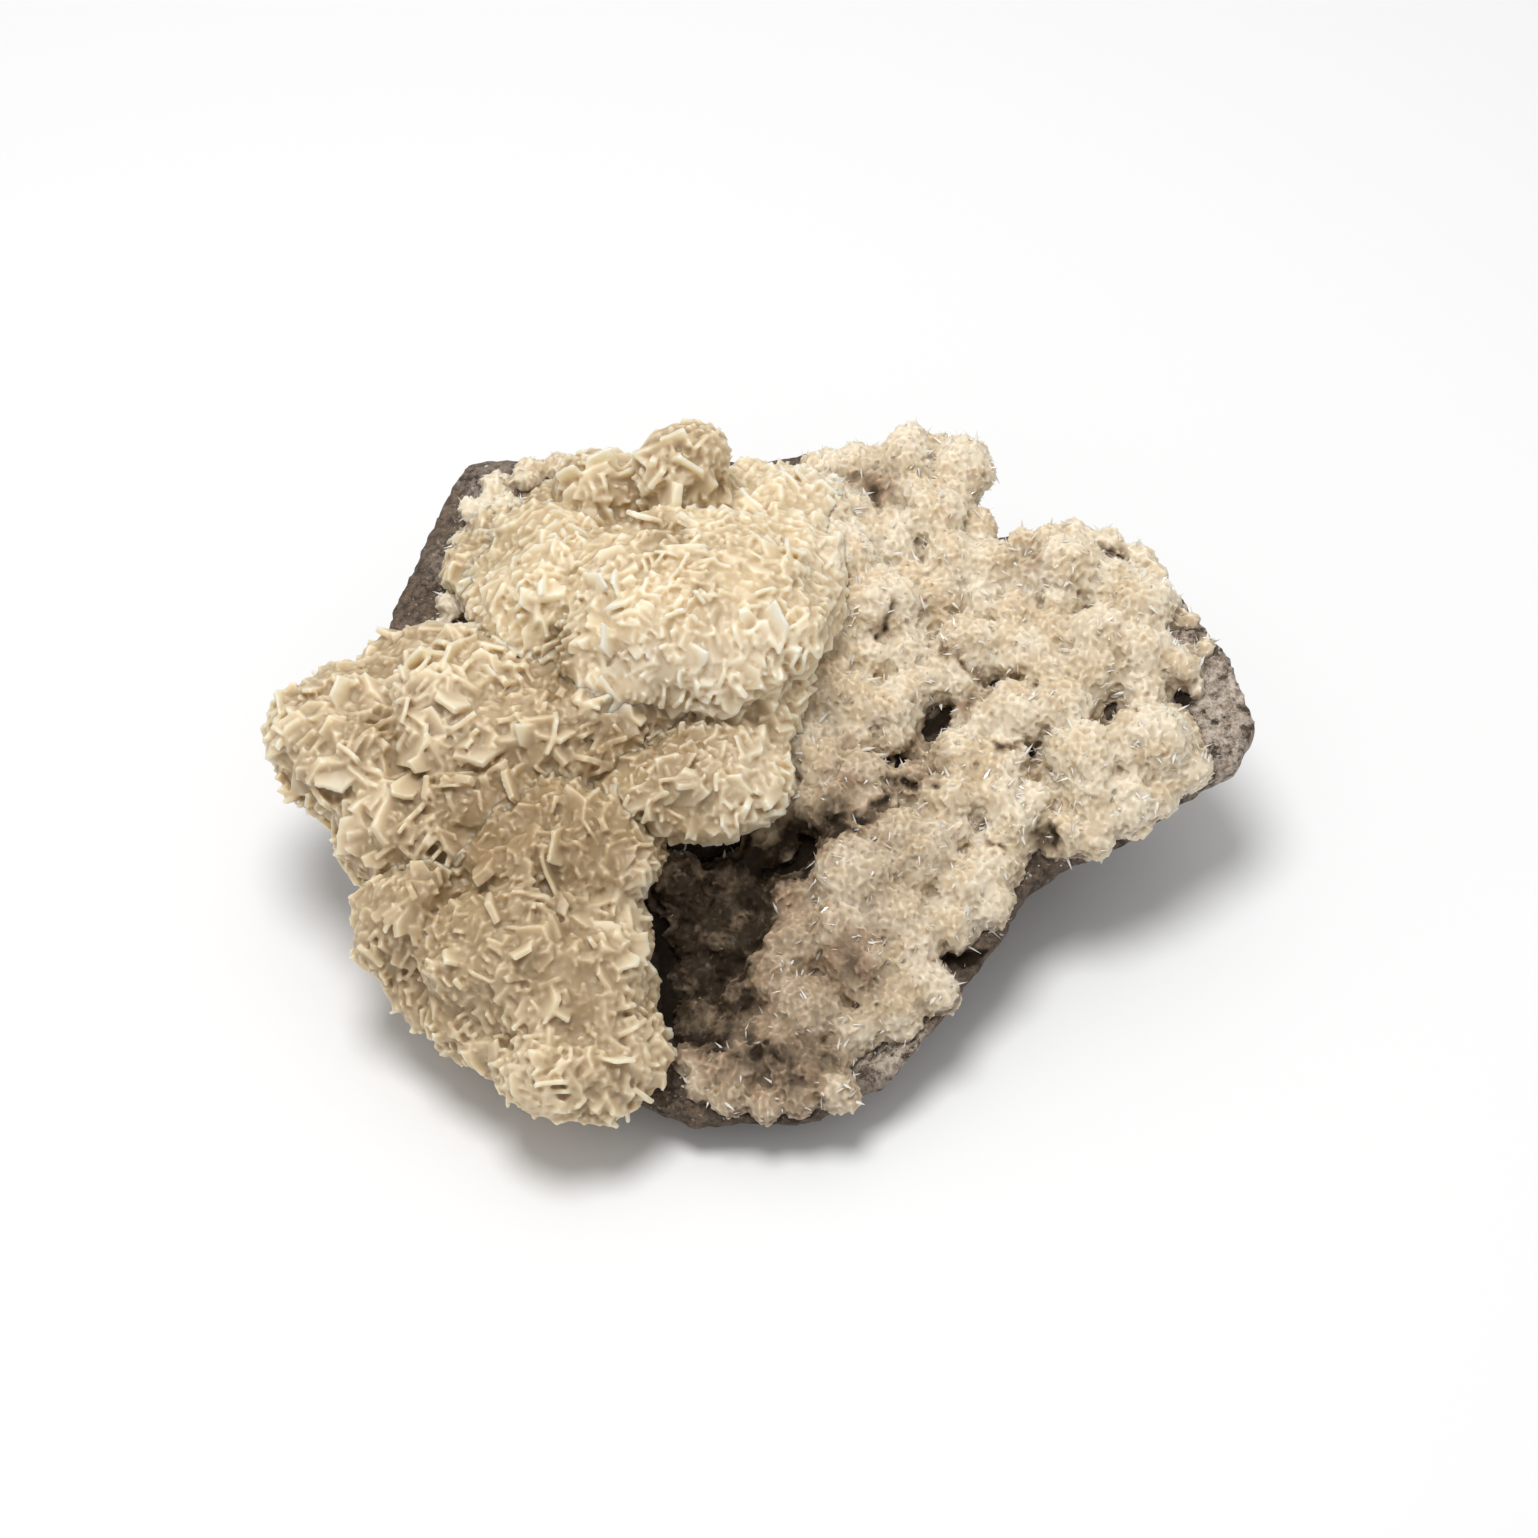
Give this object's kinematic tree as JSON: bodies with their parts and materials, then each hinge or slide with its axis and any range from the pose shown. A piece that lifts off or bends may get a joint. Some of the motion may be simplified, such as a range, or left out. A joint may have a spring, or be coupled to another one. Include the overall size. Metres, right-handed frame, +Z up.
{
  "type": "cerussite specimen",
  "caption": "Loose hand specimen of cream cerussite: domes and lobes of bladed crystals and a pale druse of small lumps on a slab of grey-brown rock.",
  "frame": {"origin": "on the surface the specimen rests on, under the middle of its bounding box", "axes": "+X to the right along the specimen's length, +Y to the back where the slab is thickest, +Z up"},
  "size_m": [0.1163, 0.0883, 0.0498],
  "materials": {
    "rock": "matte",
    "druse": "satin",
    "blades": "satin"
  },
  "bodies": {
    "root": {"matrix_rock": "rock", "druse_crust": "druse", "bladed_crystals": "blades"}
  },
  "joints": []
}
